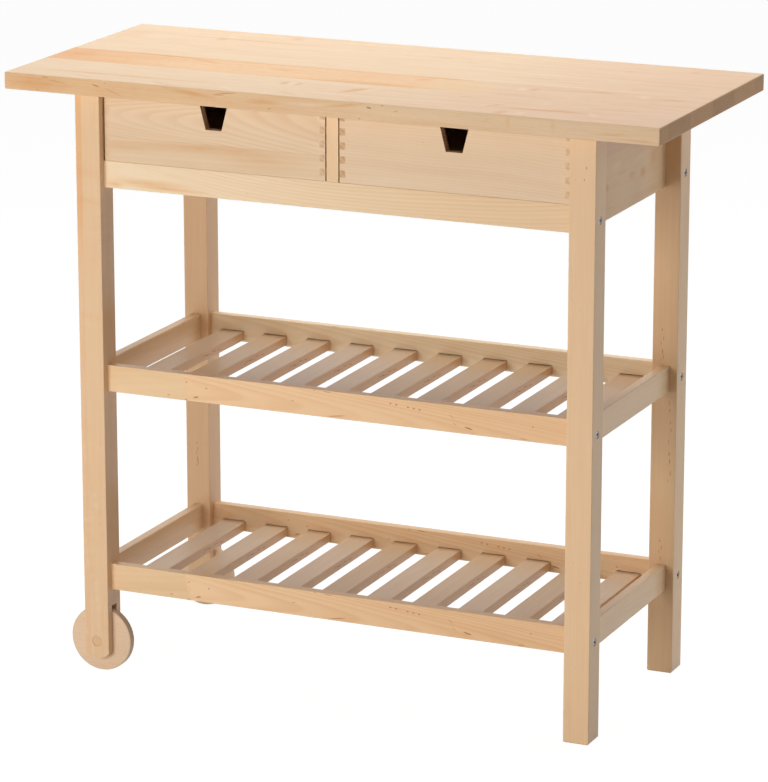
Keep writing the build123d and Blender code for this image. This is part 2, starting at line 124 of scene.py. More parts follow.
# Smudges and gleams of the worktop's upper face
TOP_SMUDGES = (
    (-200, -9, 620, 6, 0, 0.5), (-20, -88, 240, 6, 0, 0.7), (-330, -172, 330, 11, 0, 0.7),
    (-96, -128, 12, 28, 0, 0.8), (-74, -128, 9, 26, 0, 0.7), (18, -137, 52, 14, 57, 0.7),
    (300, -165, 150, 11, 3, 0.9), (345, -160, 60, 14, -8, 0.5), (235, -158, 30, 16, 30, 0.6),
    (180, -117, 44, 9, 0, 0.5), (410, -124, 90, 8, 0, 0.6), (246, -31, 16, 28, 0, 0.6),
    (343, -13, 34, 9, 0, 0.5), (450, -28, 44, 12, 10, 0.6), (375, 7, 260, 5, 0, -0.8),
    (-225, 190, 24, 24, 0, 0.5), (-328, 143, 20, 24, 0, 0.5), (410, 180, 20, 22, 0, 0.4),
    (321, 147, 18, 16, 0, 0.4), (-200, 203, 600, 6, 0, 0.3), (-322, 168, 14, 16, 0, -0.8),
    (-150, -200, 44, 7, -30, -0.8), (-60, -195, 44, 9, -25, 0.5), (-250, -203, 60, 7, -20, 0.4),
    (-380, -198, 54, 7, -20, 0.5), (40, -205, 44, 7, -30, 0.4), (262, -200, 34, 18, 75, 0.5),
    (290, -196, 24, 12, 60, -0.8), (-470, 135, 70, 60, 0, 0.3), (-290, 150, 300, 14, 0, 0.3),
    (36, 140, 30, 10, 0, 0.4), (60, 198, 200, 8, 0, 0.35), (230, 48, 140, 12, 5, 0.3),
    (290, 35, 160, 8, 6, 0.25), (-330, -10, 150, 8, -4, 0.7), (-270, -24, 60, 14, -20, 0.5),
    (-140, -40, 40, 18, 0, 0.5), (90, -7, 110, 8, 0, 0.8), (75, -25, 30, 20, 0, 0.5),
    (30, -82, 200, 14, 0, 0.6), (-470, -50, 70, 70, 0, 0.4), (190, -42, 80, 6, 25, -0.6),
    (228, -35, 14, 24, 0, -0.7), (310, -20, 120, 9, 8, 0.5), (405, -22, 26, 20, -60, -0.7),
    (-86, -128, 7, 24, 0, -0.8), (15, -140, 24, 46, -30, 0.4), (36, -128, 50, 8, 50, -0.6),
    (386, -168, 30, 14, -45, -0.7), (228, -156, 36, 8, 50, -0.6))

# Dark flecks of the worktop's front and rear edge
TOP_EDGE_MARKS = (
    (-434, 897, 13, 1.6, -4, 0.6), (-414, 892, 36, 1.6, -6, 0.35), (-352, 891, 15, 2, -13, 0.8),
    (-337, 896, 4, 1.8, -30, 0.4), (-325, 884, 38, 1.5, -20, 0.35), (-446, 878, 8, 1.6, 0, 0.5),
    (-147, 896, 46, 1.5, 8, 0.7), (-158, 893, 24, 1.3, 2, 0.45), (-79, 880, 6, 1.6, 25, 0.6),
    (73, 893.5, 10, 2.8, -12, 0.85), (93, 898, 4, 2, 20, 0.7), (114, 892, 10, 2, 20, 0.4),
    (59, 877, 3, 1.8, 0, 0.8))

# Smudges and gleams of the worktop's front and rear edge
TOP_EDGE_SMUDGES = (
    (-450, 888, 110, 22, 0, 0.4), (-20, 890, 90, 7, 0, -0.7), (-200, 892, 80, 8, -6, 0.5),
    (-90, 889, 60, 9, 0, 0.4), (30, 893, 90, 5, 8, 0.5), (150, 890, 200, 16, 0, -0.5),
    (280, 890, 9, 19, 0, 0.3), (346, 890, 9, 19, 0, 0.25), (430, 885, 70, 4, 2, 0.5),
    (470, 880, 60, 4, -3, 0.4))

# Bands of curl across the front left leg, drawn like smudges
CURL_BANDS = [
    (757, -380, 14, 52, 6, 0.14), (738, -378, 20, 52, -5, -0.22), (716, -380, 12, 52, 8, 0.16),
    (668, -376, 16, 44, -4, -0.18), (545, -380, 14, 50, 6, 0.14), (532, -378, 10, 50, 4, -0.16)]

# Smudges and gleams of the rails under the drawers
UPPER_RAIL_SMUDGES = (
    (-290, 747, 150, 12, 0, 0.5), (-250, 741, 120, 6, 0, 0.6), (-335, 760, 90, 26, 0, -0.8),
    (-345, 741, 30, 8, 0, 0.6))

# Dark flecks of the long shelf rails. Their height is counted down from the rail's top.
RAIL_MARKS = (
    (-218, 33, 11, 3, 15, 0.8), (-201, 18, 4, 2.6, 0, 0.7), (-233, 12, 5, 3, 20, 0.5),
    (-234, 38, 5, 2, 0, 0.7), (-262, 34, 7, 3, 10, 0.4), (306, 18, 3.5, 2.6, 0, 0.7),
    (209, 31, 16, 2.6, -12, 0.95), (5, 36, 34, 1.8, 8, 0.7), (183, 17, 14, 1.6, -35, 0.45),
    (188, 27, 8, 1.6, -15, 0.5), (-10, 2, 18, 1.8, -4, 0.6), (-64, 21, 8, 2, 20, 0.4),
    (292, 37, 16, 1.6, 2, 0.5), (-30, 1.5, 4, 2, 0, 0.6))

# Smudges and gleams of the panels that close the case
PANEL_SMUDGES = (
    (-84, 781, 14, 14, 0, 0.7), (58, 776, 24, 16, 0, 0.7), (12, 781, 28, 10, 0, 0.5),
    (85, 812, 12, 8, 0, 0.5), (-48, 805, 44, 16, 0, -0.6), (40, 800, 50, 8, 10, -0.5),
    (-20, 792, 60, 8, 0, 0.3), (100, 790, 30, 30, 0, 0.3))

# How far behind the face an arched figure's pith lies
ARCH_DEPTH = 26.0

# The slats of each shelf: how much brighter or darker their front and rear ends and their
# sides are made, which is painted light and shade, and which of them are brown
SLAT_COUNT = 10
SLAT_SHELF_PAINTED_LIGHT = {"middle": (1.17, 0.87, 1.0, (5, 6, 7)), "lower": (1.30, 0.93, 0.95, (4, 8))}

# How far the wood's marks move from one glued block to the next
BLOCK_STEP = 137.0

# How squarely a face looks along an axis when it starts to count, and when it counts in full
FACING = (0.6, 0.85)

# Sizes of the wood's marks along the grain, across it and through it, and how far the
# rings drift and tremble
RING_DRIFT = (300, 80, 80)
RING_WOBBLE = (150, 30, 30)
RING_TREMBLE = (45, 9, 9)
DRIFT = 9.0
TREMBLE = 0.5
VIGOUR = (170, 34, 34)
FIBRE = (42, 1.2, 1.2)
THREAD = (14, 0.3, 0.3)
BLOTCH = (90, 28, 28)
STREAK = (130, 5, 5)
CURL = (9, 30, 30)
CURL_PATCH = (110, 46, 46)
FLECK = (14, 2.8, 2.8)
SPOT = (15, 4.5, 4.5)
SMUDGE = (26, 6, 6)
PORE = (4, 1.6, 1.6)
WEAR_AND_HIGHLIGHT_SIZE = (14, 5, 5)

# Shares of the darkening that every birch board has
GROUND_DEPTH = 0.14
LINE_MIDDLE = 0.3
FIBRE_DEPTH = 0.06
THREAD_DEPTH = 0.035
CURL_DEPTH = 2.0

# Shares of the tones that are laid over the wood
FLECK_SHARE = 0.45
GLEAM_SHARE = 0.26
GLUE_SHARE = 0.2
WEAR_AND_HIGHLIGHT_SHARE = 0.22

# How far out drawn smudges fade, and the steps by which strewn marks never line up
SMUDGE_REACH = 1.35
STREW_ALONG = 0.618
STREW_ACROSS = 0.755

# Lacquer: how deep the grain is in it, in metres, and how strongly it reflects
GRAIN_DEPTH = 0.00025
COAT = 0.2
GLOSS = 0.22

# The figure of a plain board, which each board's own look changes
PLAIN = {
    "tone": CREAM, "far_tone": None, "fade": None, "side_tones": None,
    "pith": (0.0, -70.0), "start": 0.0, "taper": 0.02, "bend": None, "spacing": 3.2,
    "wobble": 1.6, "arches": (), "lines": 0.14, "bands": 0.08, "blotches": 0.08,
    "streaks": 0.06, "ripple": 0.03, "specks": 0.03, "spots": 0.0, "blocks": (), "joints": (),
    "marks": (), "side_marks": (), "smudges": (), "side_smudges": (), "end_tint": END_TINT,
    "coat": COAT, "gloss": GLOSS,
}


class Wire:
    """A node's output. Arithmetic on wires adds the math nodes that it needs."""

    def __init__(self, tree, socket):
        self.tree = tree
        self.socket = socket

    def math(self, operation, *others):
        return math_node(self.tree, operation, self, *others)

    def __add__(self, other):
        return self.math("ADD", other)

    def __radd__(self, other):
        return self.math("ADD", other)

    def __sub__(self, other):
        return self.math("SUBTRACT", other)

    def __rsub__(self, other):
        return math_node(self.tree, "SUBTRACT", other, self)

    def __mul__(self, other):
        return self.math("MULTIPLY", other)

    def __rmul__(self, other):
        return self.math("MULTIPLY", other)

    def __truediv__(self, other):
        return self.math("DIVIDE", other)

    def __rtruediv__(self, other):
        return math_node(self.tree, "DIVIDE", other, self)


def add_node(tree, kind, values, output=0, **settings):
    """Adds a node, fills its inputs from values, and gives the wire of one output."""
    node = tree.nodes.new(kind)
    for name, value in settings.items():
        setattr(node, name, value)
    for key, value in values.items():
        if isinstance(value, Wire):
            tree.links.new(value.socket, node.inputs[key])
        else:
            node.inputs[key].default_value = value
    return Wire(tree, node.outputs[output])


def math_node(tree, operation, *values):
    return add_node(tree, "ShaderNodeMath", dict(enumerate(values)), operation=operation)


def combine(tree, x, y, z):
    return add_node(tree, "ShaderNodeCombineXYZ", {0: x, 1: y, 2: z})


def separate(vector):
    """The x, y and z wires of a vector."""
    parted = add_node(vector.tree, "ShaderNodeSeparateXYZ", {0: vector})
    return [Wire(vector.tree, output) for output in parted.socket.node.outputs]


def ramp(value, start, end, low=0.0, high=1.0):
    """Goes smoothly from low to high as value goes from start to end."""
    places = {"Value": value, "From Min": start, "From Max": end, "To Min": low, "To Max": high}
    return add_node(value.tree, "ShaderNodeMapRange", places, interpolation_type="SMOOTHSTEP")


def show(tree, shader, kind="Material"):
    """Ends a material or the world in its output node."""
    output = tree.nodes.new("ShaderNodeOutput" + kind)
    tree.links.new(shader.socket, output.inputs["Surface"])


def rgba(colour):
    return colour if isinstance(colour, Wire) else (*colour, 1.0)


def mix(tree, share, first, second, how="MIX"):
    """The first colour, with a share of the second mixed in or multiplied over it."""
    values = {0: share, 6: rgba(first), 7: rgba(second)}
    return add_node(tree, "ShaderNodeMix", values, output=2, data_type="RGBA", blend_type=how)


def distance(first, second):
    """How far apart the ends of two legs at a right angle are."""
    return (first * first + second * second).math("SQRT")


class Grain:
    """A surface point's place in a piece: along the grain, across it and through it."""

    def __init__(self, tree, axes, seed):
        self.tree = tree
        self.calls = 0
        self.seed = seed
        surface = tree.nodes.new("ShaderNodeTexCoord").outputs
        metres = Wire(tree, surface["Object"])
        scaled = {0: metres, 1: (MM, MM, MM)}
        place = separate(add_node(tree, "ShaderNodeVectorMath", scaled, operation="MULTIPLY"))
        facing = separate(Wire(tree, surface["Normal"]))
        order = ["xyz".index(axis) for axis in axes]
        self.along, self.across, self.through = (place[i] for i in order)
        self.facing = [facing[i].math("ABSOLUTE") for i in order]
        self.vector = combine(tree, self.along, self.across, self.through)

    def shift(self, amount):
        """Moves the marks by a wire's amount, so that glued blocks don't share them."""
        moved = {0: self.vector, 1: combine(self.tree, amount, amount * 0.31, amount * 0.73)}
        self.vector = add_node(self.tree, "ShaderNodeVectorMath", moved, operation="ADD")

    def stretched(self, lengths):
        """The place in units of lengths, moved by a step of its own for each use."""
        self.calls += 1
        step = self.seed * 3.17 + self.calls * 7.31
        scale = tuple(1.0 / length for length in lengths)
        values = {0: self.vector, 1: scale, 2: (step, step * 1.7, -step)}
        return add_node(self.tree, "ShaderNodeVectorMath", values, operation="MULTIPLY_ADD")

    def noise(self, lengths, detail=1.0, rough=0.5):
        """Noise from -1 to 1 whose marks measure about lengths."""
        values = {"Vector": self.stretched(lengths), "Scale": 1.0, "Detail": detail,
                  "Roughness": rough}
        return add_node(self.tree, "ShaderNodeTexNoise", values) * 2.0 - 1.0

    def specks(self, cell, size, share):
        """Short marks, one in a share of the cells, from 0 to 1."""
        values = {"Vector": self.stretched(cell), "Scale": 1.0}
        near = add_node(self.tree, "ShaderNodeTexVoronoi", values, output="Distance")
        chance = Wire(self.tree, near.socket.node.outputs["Color"])
        pick = separate(chance)[0].math("LESS_THAN", share)
        return ramp(near, size, size * 0.4) * pick


def worn_and_highlit_edges(grain, low, high):
    """1 on the piece's outer edges and 0 from 2.5 mm in, from its box in grain axes."""
    gaps = []
    for place, start, end in zip((grain.along, grain.across, grain.through), low, high):
        middle, half = (start + end) / 2, (end - start) / 2
        gaps.append(half - (place - middle).math("ABSOLUTE"))
    first, second, third = gaps
    nearer = first.math("MINIMUM", second)
    farther = first.math("MAXIMUM", second)
    edge = nearer.math("MAXIMUM", farther.math("MINIMUM", third))
    return ramp(edge + grain.noise(WEAR_AND_HIGHLIGHT_SIZE) * 0.6, 2.2, 0.3)


def block_mask(grain, block):
    """1 inside one glued block of the board, given its ends along and across the grain.

    lean tilts its ends, and soft is how far its colour runs over along and across.
    """
    mask = 1.0
    along = grain.along + grain.across * block.get("lean", 0.0)
    limits = zip((along, grain.across), (block.get("along"), block.get("across")),
                 block.get("soft", (0.01, 0.01)))
    for place, ends, soft in limits:
        if ends:
            mask = ramp(place, ends[0] - soft, ends[0] + soft) * mask
            mask = ramp(place, ends[1] + soft, ends[1] - soft) * mask
    return mask


def over_blocks(masks, key, usual):
    """A value that is usual over the board, and a block's own inside that block."""
    value = usual
    for mask, block in masks:
        if key in block:
            value = mask * (block[key] - usual) + value
    return value


def drawn_marks(grain, marks, height, facing, core=0.5, reach=1.0):
    """Marks drawn one by one, on the faces that look along facing.

    core is the share of a mark that has its full strength, and reach is how far out it fades.
    """
    total = 0.0
    for along, level, length, thick, tilt, strength in marks:
        cosine, sine = math.cos(math.radians(tilt)), math.sin(math.radians(tilt))
        right, up = grain.along - along, height - level
        run = (right * cosine + up * sine) / (length / 2)
        rise = (up * cosine - right * sine) / (thick / 2)
        total = ramp(distance(run, rise), reach, core) * strength + total
    return total * ramp(facing, *FACING) if marks else 0.0


def with_marks(grain, look, wood):
    """The wood with its drawn smudges, its gleams and its dark flecks."""
    tree = grain.tree
    faces = ((grain.across, grain.facing[2], ""), (grain.through, grain.facing[1], "side_"))
    for height, facing, side in faces:
        smudges = look[side + "smudges"]
        if smudges:
            uneven = grain.noise(SMUDGE, 2.0) * 0.8 + 1.3
            dark, light = (
                drawn_marks(grain, [mark for mark in smudges if mark[-1] * sign > 0],
                            height, facing, 0.0, SMUDGE_REACH)
                for sign in (1, -1))
            wood = mix(tree, uneven * dark, wood, SMUDGE_TINT, "MULTIPLY")
            wood = mix(tree, uneven * light * -GLEAM_SHARE, wood, GLEAM_TONE)
        if look[side + "marks"]:
            drawn = drawn_marks(grain, look[side + "marks"], height, facing)
            wood = mix(tree, drawn, wood, MARK_TONE)
    return wood


def finish_wood(tree, colour, roughness, height, coat, gloss=GLOSS):
    """The lacquered surface that every wooden piece ends in."""
    bump = add_node(tree, "ShaderNodeBump", {
        "Height": height, "Strength": 0.5, "Distance": GRAIN_DEPTH})
    shader = add_node(tree, "ShaderNodeBsdfPrincipled", {
        "Base Color": colour, "Roughness": roughness, "Normal": bump, "IOR": 1.5,
        "Specular IOR Level": gloss, "Coat Weight": coat, "Coat Roughness": 0.16,
        "Coat IOR": 1.5})
    show(tree, shader)


def new_tree(name):
    material = bpy.data.materials.new(name)
    material.use_nodes = True
    material.node_tree.nodes.clear()
    return material, material.node_tree


def piece_box(piece, axes):
    """The piece's lowest and highest corner in millimetres, in grain axes."""
    order = ["xyz".index(axis) for axis in axes]
    return [[corner[i] * MM for i in order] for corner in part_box(piece)]


def faded(grain, look, ends):
    """The wood's tone, which fades along the grain to far_tone where the look has one."""
    if not look.get("far_tone"):
        return look["tone"]
    start, end = look.get("fade") or ends
    return mix(grain.tree, ramp(grain.along, start, end), look["tone"], look["far_tone"])


def straight_rings(grain, look, masks, middle):
    """Rings round a distant pith, which leave long lines."""
    sideways = grain.across - over_blocks(masks, "pith", middle[1] + look["pith"][0])
    reach = distance(sideways + grain.noise(RING_DRIFT) * DRIFT,
                     grain.through - (middle[2] + look["pith"][1]))
    run = grain.along - look["start"]
    rings = reach + run * over_blocks(masks, "taper", look["taper"])
    if look["bend"]:
        before, after = run.math("MINIMUM", 0.0), run.math("MAXIMUM", 0.0)
        rings = rings + before * before * look["bend"][0] + after * after * look["bend"][1]
    rings = rings + grain.noise(RING_WOBBLE) * look["wobble"]
    return rings / over_blocks(masks, "spacing", look["spacing"])


def arched_rings(grain, look, middle):
    """Rings close to their pith, which a board's face cuts in nested arches.

    An arch is its tip along the grain, its axis's level and slope, its opening, which is how
    fast its arms part (below zero towards the low end), its step from tip to tip, the ring
    that it has first, and where it takes over from the arch before.
    """
    depth = grain.through - middle[2] + ARCH_DEPTH
    sway = grain.noise(RING_WOBBLE) * look["wobble"] + grain.noise(RING_TREMBLE) * TREMBLE
    rings = 0.0
    for arch in look["arches"]:
        run = grain.along - arch["tip"]
        sideways = grain.across - arch["level"] - run * arch.get("slope", 0.0) + sway
        inward = (sideways * sideways + depth * depth - ARCH_DEPTH ** 2) / arch["opening"]
        nested = (run - inward) / arch["step"] + arch.get("first", 0.0)
        if "takeover" in arch:
            nested = (nested - rings) * ramp(grain.along, *arch["takeover"]) + rings
        rings = nested
    return rings


def all_rings(grain, look, masks, middle):
    """The rings of a board; the glued blocks of an arched board have straight ones."""
    if not look["arches"]:
        return straight_rings(grain, look, masks, middle)
    rings = arched_rings(grain, look, middle)
    if masks:
        inside = sum((mask for mask, _ in masks), 0.0)
        rings = (straight_rings(grain, look, masks, middle) - rings) * inside + rings
    return rings


def ground_tone(grain, look, masks, ends):
    """The wood's tone with its fade along the grain, its blocks' tones and its sides'; some fades
    and side tones are painted light and shade.
    """
    tree = grain.tree
    ground = faded(grain, look, ends)
    for mask, block in masks:
        if "tone" in block:
            ground = mix(tree, mask, ground, faded(grain, block, ends))
    # Tones of the side faces: the wood's own on the worktop's edges, painted light and shade on
    # the legs and slats
    if look["side_tones"]:
        near, far = look["side_tones"]
        side = mix(tree, ramp(grain.along, *ends), near, far)
        ground = mix(tree, ramp(grain.facing[1], *FACING), ground, side)
    return ground


def part_blocks(grain, masks):
    """Gives each glued block marks of its own, unless it is joined to the board."""
    numbers = 0.0
    for number, (mask, block) in enumerate(masks):
        if not block.get("joined"):
            numbers = mask.math("ROUND") * (number + 1.0) + numbers
    if isinstance(numbers, Wire):
        grain.shift(numbers * BLOCK_STEP)


def late_wood(rings, start, full, end):
    """The dark late wood of each ring: it comes slowly from start to full, and goes at end."""
    tread = rings.math("FRACT")
    return ramp(tread, start, full) * ramp(tread, 1.0, end)


def wood_marks(grain, look, masks, middle):
    """The marks that the wood's own growth leaves, each as a wire."""
    rings = all_rings(grain, look, masks, middle)
    slow_rings = {"W": rings * 0.37 + grain.seed, "Scale": 1.0, "Detail": 1.0}
    marks = SimpleNamespace(late=late_wood(rings, 0.15, 0.82, 0.84))
    marks.band = add_node(grain.tree, "ShaderNodeTexNoise", slow_rings,
                          noise_dimensions="1D") * 2.0 - 1.0
    marks.vigour = ramp(grain.noise(VIGOUR), -0.6, 0.6, 0.5, 1.0)
    marks.fibre = grain.noise(FIBRE, 3.0, 0.6)
    marks.thread = grain.noise(THREAD)
    marks.blotch = grain.noise(BLOTCH, 2.0)
    marks.streak = grain.noise(STREAK, 2.0)
    marks.curl = grain.noise(CURL, 2.0) * ramp(grain.noise(CURL_PATCH), -0.15, 0.5)
    marks.flecks = grain.specks(FLECK, 0.15, over_blocks(masks, "specks", look["specks"]))
    return marks


def figured(grain, look, masks, ground, marks):
    """The ground tone with the wood's marks, its red spots and what is drawn on it."""
    tree = grain.tree
    lines = over_blocks(masks, "lines", look["lines"])
    depth = (marks.late * marks.vigour - LINE_MIDDLE) * lines + GROUND_DEPTH
    depth = depth + marks.band * look["bands"] + marks.fibre * FIBRE_DEPTH
    depth = depth + marks.thread * THREAD_DEPTH
    depth = depth + marks.curl * over_blocks(masks, "ripple", look["ripple"]) * CURL_DEPTH
    depth = depth + marks.blotch * look["blotches"] + marks.streak * look["streaks"]
    wood = mix(tree, depth, ground, LINE_TINT, "MULTIPLY")
    spots = over_blocks(masks, "spots", look["spots"])
    if isinstance(spots, Wire) or spots:
        patches = ramp(grain.noise(SPOT, 2.0), 0.05, 0.5)
        wood = mix(tree, patches * spots, wood, SPOT_TONE)
    wood = with_marks(grain, look, wood)
    return mix(tree, marks.flecks * FLECK_SHARE, wood, MARK_TONE)


def end_grain(grain, look, masks, wood, late):
    """The wood where it is cut across: darker, with its rings and pores."""
    depth = late * 0.5 + grain.noise(PORE, 2.0) * 0.25 + 0.72
    cut_wood = mix(grain.tree, depth, wood, look["end_tint"], "MULTIPLY")
    shade = over_blocks(masks, "end_shade", 0.0)
    if isinstance(shade, Wire):
        cut_wood = mix(grain.tree, shade, cut_wood, END_SHADE, "MULTIPLY")
    return cut_wood


def glue_grooves(grain, joints):
    """1 in the fine grooves where staves are glued, at the joints' places across."""
    groove = 0.0
    for joint in joints:
        groove = ramp((grain.across - joint).math("ABSOLUTE"), 0.7, 0.1) + groove
    return groove


def birch(piece, axes, seed, **changes):
    """Lacquered solid birch: rings, fibres, curl, flecks, end grain, and edges made lighter,
    partly as wear and partly as a painted highlight.

    axes names the piece's axes along, across and through the grain. changes sets what its
    look has other than PLAIN. pith is the middle of the rings, across and through, from the
    piece's middle. The rings drift by taper along the grain and curve by bend before and
    after start. blocks are glued blocks with values of their own.
    """
    look = {**PLAIN, **changes}
    material, tree = new_tree(piece + "_birch")
    grain = Grain(tree, axes, seed)
    low, high = piece_box(piece, axes)
    middle = [(a + b) / 2 for a, b in zip(low, high)]
    masks = [(block_mask(grain, block), block) for block in look["blocks"]]
    ground = ground_tone(grain, look, masks, (low[0], high[0]))
    part_blocks(grain, masks)
    marks = wood_marks(grain, look, masks, middle)
    wood = figured(grain, look, masks, ground, marks)
    cut = ramp(grain.facing[0], *FACING)
    wood = mix(tree, cut, wood, end_grain(grain, look, masks, wood, marks.late))
    groove = glue_grooves(grain, look["joints"])
    if look["joints"]:
        wood = mix(tree, groove * GLUE_SHARE, wood, GLUE_TONE)
    # Lighter edges: partly lacquer wear, partly a painted highlight
    worn_and_highlit = worn_and_highlit_edges(grain, low, high)
    wood = mix(tree, worn_and_highlit * WEAR_AND_HIGHLIGHT_SHARE, wood, EDGE_WEAR_AND_HIGHLIGHT_TONE)

    roughness = 0.38 + marks.fibre * 0.05 + marks.blotch * 0.03 + cut * 0.14 + worn_and_highlit * 0.08
    height = marks.fibre * 0.4 + marks.thread * 0.3 - marks.late * 0.2
    height = height - marks.flecks * 0.8 - groove * 0.5
    finish_wood(tree, wood, roughness, height, look["coat"], look["gloss"])
    return material


def plywood(piece, axes, tone, plies, seed):
    """Veneer on both faces, with its plies showing on the sides."""
    material, tree = new_tree(piece + "_plywood")
    grain = Grain(tree, axes, seed)
    low, high = piece_box(piece, axes)
    level = (grain.through - low[2]) / (high[2] - low[2]) * plies
    odd = (level * 0.5).math("FRACT")
    crossed = ramp(odd + grain.noise((8, 8, 8)) * 0.02, 0.47, 0.53)
    glue_line = ramp((level.math("FRACT") - 0.5).math("ABSOLUTE"), 0.42, 0.5)

    rings = (grain.across + grain.noise((120, 20, 20), 2.0) * 9.0) / 6.5
    late = late_wood(rings, 0.2, 0.9, 0.93)
    fibre = grain.noise((40, 1.2, 1.2), 3.0, 0.6)
    thread = grain.noise((12, 0.35, 0.35))
    blotch = grain.noise((50, 22, 22), 2.0)
    flecks = grain.specks((10, 2.6, 2.6), 0.18, 0.25)

    depth = late * 0.06 + fibre * 0.12 + thread * 0.06 + 0.08
    face = mix(tree, depth, tone, LINE_TINT, "MULTIPLY")
    face = mix(tree, blotch * 0.14 + 0.08, face, PLY_BLOTCH, "MULTIPLY")
    face = mix(tree, flecks * FLECK_SHARE, face, MARK_TONE)
    side = mix(tree, crossed, tone, PLY_DARK)
    side = mix(tree, grain.noise((5, 5, 0.8), 2.0) * 0.2 + 0.12, side, LINE_TINT, "MULTIPLY")
    side = mix(tree, glue_line * 0.55, side, PLY_GLUE)
    edge_side = ramp(grain.facing[2], 0.75, 0.45)
    wood = mix(tree, edge_side, face, side)

    roughness = 0.40 + fibre * 0.05 + edge_side * 0.12
    height = fibre * 0.5 + thread * 0.3 - edge_side * crossed * 0.6 - flecks * 0.6
    finish_wood(tree, wood, roughness, height, coat=0.15)
    return material


def zinc(piece):
    """Zinc-plated steel: bluish and finely mottled."""
    material, tree = new_tree(piece + "_zinc")
    grain = Grain(tree, "xyz", 3.0)
    mottle = grain.noise((1.4, 1.4, 1.4), 3.0, 0.6)
    fine = grain.noise((0.25, 0.25, 0.25), 2.0)
    metal = mix(tree, mottle * 0.4 + 0.5, ZINC, ZINC_DARK)
    roughness = 0.34 + mottle * 0.08 + fine * 0.04
    bump = add_node(tree, "ShaderNodeBump",
                    {"Height": mottle + fine * 0.5, "Strength": 0.3, "Distance": 0.0001})
    shader = add_node(tree, "ShaderNodeBsdfPrincipled", {
        "Base Color": metal, "Roughness": roughness, "Normal": bump, "Metallic": 1.0})
    show(tree, shader)
    return material


def dress(piece, material):
    """Gives a piece its material in every slot."""
    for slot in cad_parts[piece].material_slots:
        slot.material = material


def dress_worktop():
    staves = (-182.0, -93.0, -4.0, 85.0, 174.0)
    front, second, third, fourth, fifth, rear = zip((-220.0,) + staves, staves + (220.0,))
    blocks = [
        {"across": front, "tone": TOP_CREAM, "far_tone": TOP_GREY, "fade": (-200, 420),
         "pith": -215, "ripple": 0.06, "end_shade": 0.1},
        {"across": second, "tone": TOP_CREAM, "far_tone": TOP_GREY, "fade": (-160, 430),
         "pith": -140, "ripple": 0.08, "end_shade": 0.3},
        {"across": third, "along": (-505, 95), "tone": TOP_HONEY, "far_tone": TOP_AMBER,
         "fade": (-480, -230), "pith": -60, "ripple": 0.08, "spots": 0.6, "specks": 0.2,
         "soft": (5, 0.01)},
        {"across": third, "along": (95, 520), "tone": TOP_BEIGE, "far_tone": TOP_GREY,
         "fade": (130, 240), "pith": -90, "ripple": 0.08, "end_shade": 0.1, "soft": (5, 0.01)},
        {"across": fourth, "along": (-505, 367), "tone": TOP_CREAM, "far_tone": TOP_GREY,
         "fade": (140, 430), "pith": 30},
        {"across": fourth, "along": (367, 505), "tone": TOP_GREY, "pith": 60, "end_shade": 0.4},
        {"across": fifth, "tone": TOP_CREAM, "far_tone": TOP_GREY, "fade": (80, 430),
         "pith": 120, "ripple": 0.06, "end_shade": 0.15},
        {"across": rear, "tone": TOP_CREAM, "far_tone": TOP_GREY, "fade": (80, 450),
         "pith": 200, "ripple": 0.05, "end_shade": 0.3},
    ]
    dress("table_top", birch(
        "table_top", "xyz", pith=(0, -45), lines=0.12, bands=0.12, blotches=0.15, streaks=0.26,
        spots=0.14, spacing=4.0, blocks=blocks, joints=staves, smudges=TOP_SMUDGES,
        side_marks=TOP_EDGE_MARKS, side_smudges=TOP_EDGE_SMUDGES,
        side_tones=(EDGE_PEACH, EDGE_CREAM), coat=0.06, gloss=0.15,
        end_tint=TOP_END_TINT, seed=1))


def strewn(start, end, count, level, spread):
    """Numbered places from start to end along the grain, spread about level across it."""
    for i in range(count):
        along = start + (end - start) * ((i * STREW_ALONG) % 1.0)
        yield i, along, level + spread * (((i * STREW_ACROSS) % 1.0) - 0.5)


def scattered(*line, size=1.0):
    """Short dark flecks along the grain, strewn about a line."""
    return [(along, side, 5 + i % 3 * 3, 1.5 * size, 8 - i % 5 * 4, 0.55 + i % 4 * 0.14)
            for i, along, side in strewn(*line)]


def mottled(*line):
    """Soft dark and light patches strewn about a line."""
    return [(along, side, 12 + i % 3 * 6, 9, 0, 0.14 if i % 2 else -0.5)
            for i, along, side in strewn(*line)]


def dress_legs():
    looks = {
        "leg_front_left": {"tone": LEG, "pith": (30, 60), "blocks": [
            {"across": (-401, -390), "tone": ORANGE_LEG, "far_tone": FLAME_LEG,
             "fade": (600, 720), "pith": -420, "soft": (1, 2), "joined": True}],
            "ripple": 0.14, "blotches": 0.12,
            "smudges": CURL_BANDS + mottled(62, 362, 22, -380, 34)},
        # The side faces of this leg and of the rear right leg get tones of their own: painted
        # shade and light
        "leg_front_right": {"tone": BRIGHT_LEG, "far_tone": LEG, "pith": (-60, 30),
                            "ripple": 0.04, "side_tones": (LEG_SIDE_PAINTED_SHADE, LEG_SIDE_PAINTED_SHADE),
                            "marks": ((831, 386, 5, 2, 0, 0.8), (814, 383, 4, 2, 0, 0.7))},
        # The rear legs' darker tones are painted shade
        "leg_rear_left": {"tone": LEG_SHADE, "pith": (50, 60), "ripple": 0.03,
                          "marks": scattered(230, 272, 6, -381, 3)},
        "leg_rear_right": {"tone": LEG_DEEP_SHADE, "pith": (40, 50), "ripple": 0.03,
                           "side_tones": (LEG_SIDE_PAINTED_LIGHT, LEG_SIDE_PAINTED_LIGHT),
                           "marks": scattered(479, 532, 6, 377, 5)
                           + scattered(297, 422, 9, 391, 5) + scattered(166, 210, 5, 379, 5)},
    }
    for number, (piece, look) in enumerate(looks.items()):
        dress(piece, birch(piece, "zxy", taper=0.004, spacing=4.2, lines=0.05, streaks=0.10,
                           seed=10 + number, **look))


